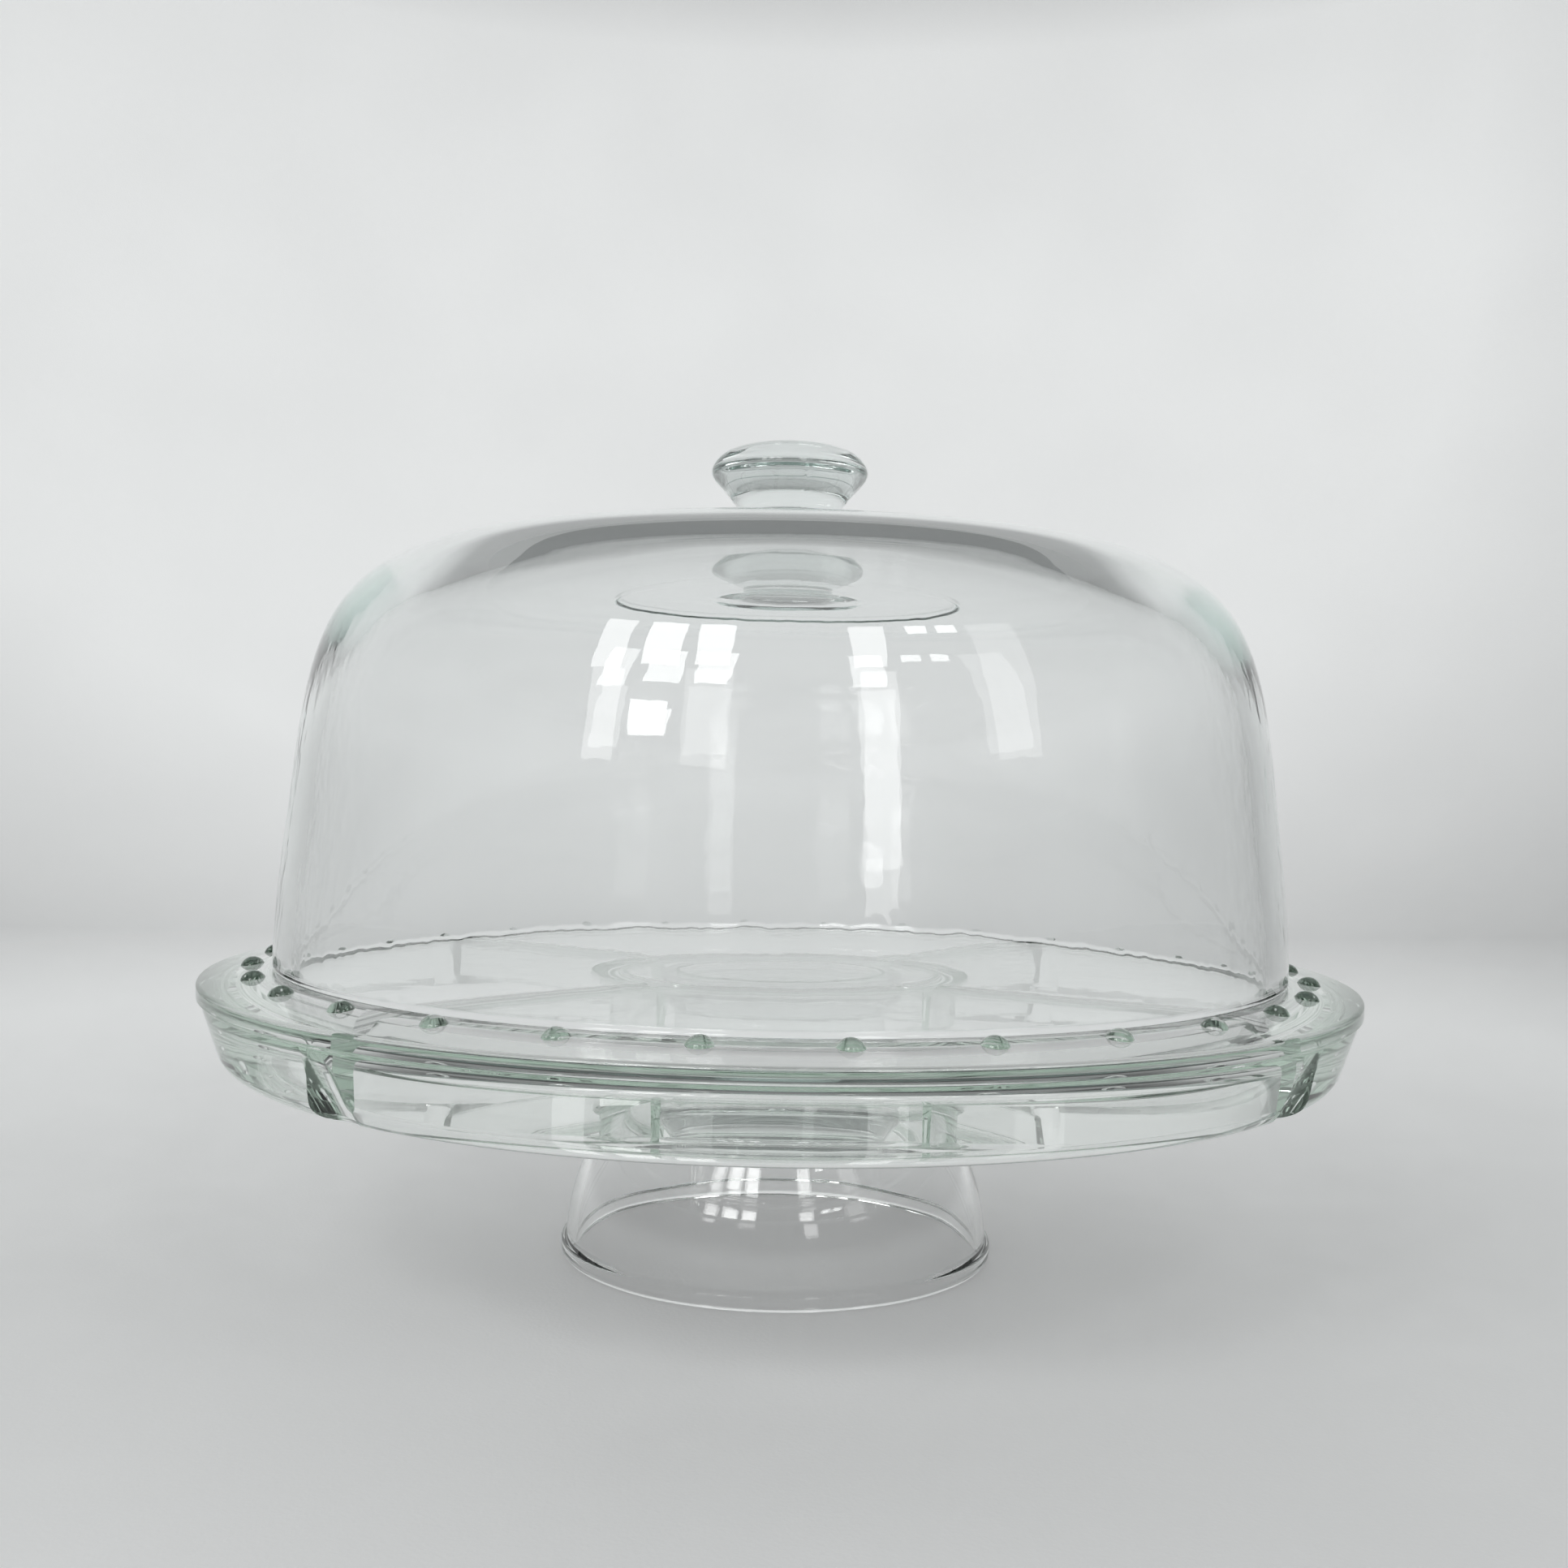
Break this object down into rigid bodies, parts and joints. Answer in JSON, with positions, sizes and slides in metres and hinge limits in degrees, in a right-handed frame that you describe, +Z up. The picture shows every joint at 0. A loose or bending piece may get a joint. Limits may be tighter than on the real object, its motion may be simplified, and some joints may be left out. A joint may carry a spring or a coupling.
{
  "type": "domed cake stand",
  "caption": "Clear glass cake stand: knobbed dome lid on a beaded, ribbed platter carried by an upturned pedestal bowl.",
  "frame": {"origin": "centre of the pedestal's foot rim, on the surface that the stand rests on", "axes": "+Z up along the common axis of pedestal, platter and dome; the platter's ribs lie at 45 degrees to X and Y"},
  "size_m": [0.3048, 0.3048, 0.2206],
  "materials": {
    "pedestal_glass": "clear pressed soda-lime glass, fire polished",
    "platter_glass": "thick clear pressed soda-lime glass, faint grey-green in depth",
    "dome_glass": "clear blown soda-lime glass, faintly wavy"
  },
  "bodies": {
    "pedestal": {"pedestal_bowl": "pedestal_glass"},
    "platter": {"platter": "platter_glass"},
    "dome": {"dome_shell": "dome_glass", "dome_knob": "dome_glass"}
  },
  "joints": [
    {"name": "platter_lift", "type": "slide", "parent": "pedestal", "child": "platter", "axis": [0, 0, 1], "range_m": [0, 0.06]},
    {"name": "dome_lift", "type": "slide", "parent": "platter", "child": "dome", "axis": [0, 0, 1], "range_m": [0, 0.14]}
  ]
}
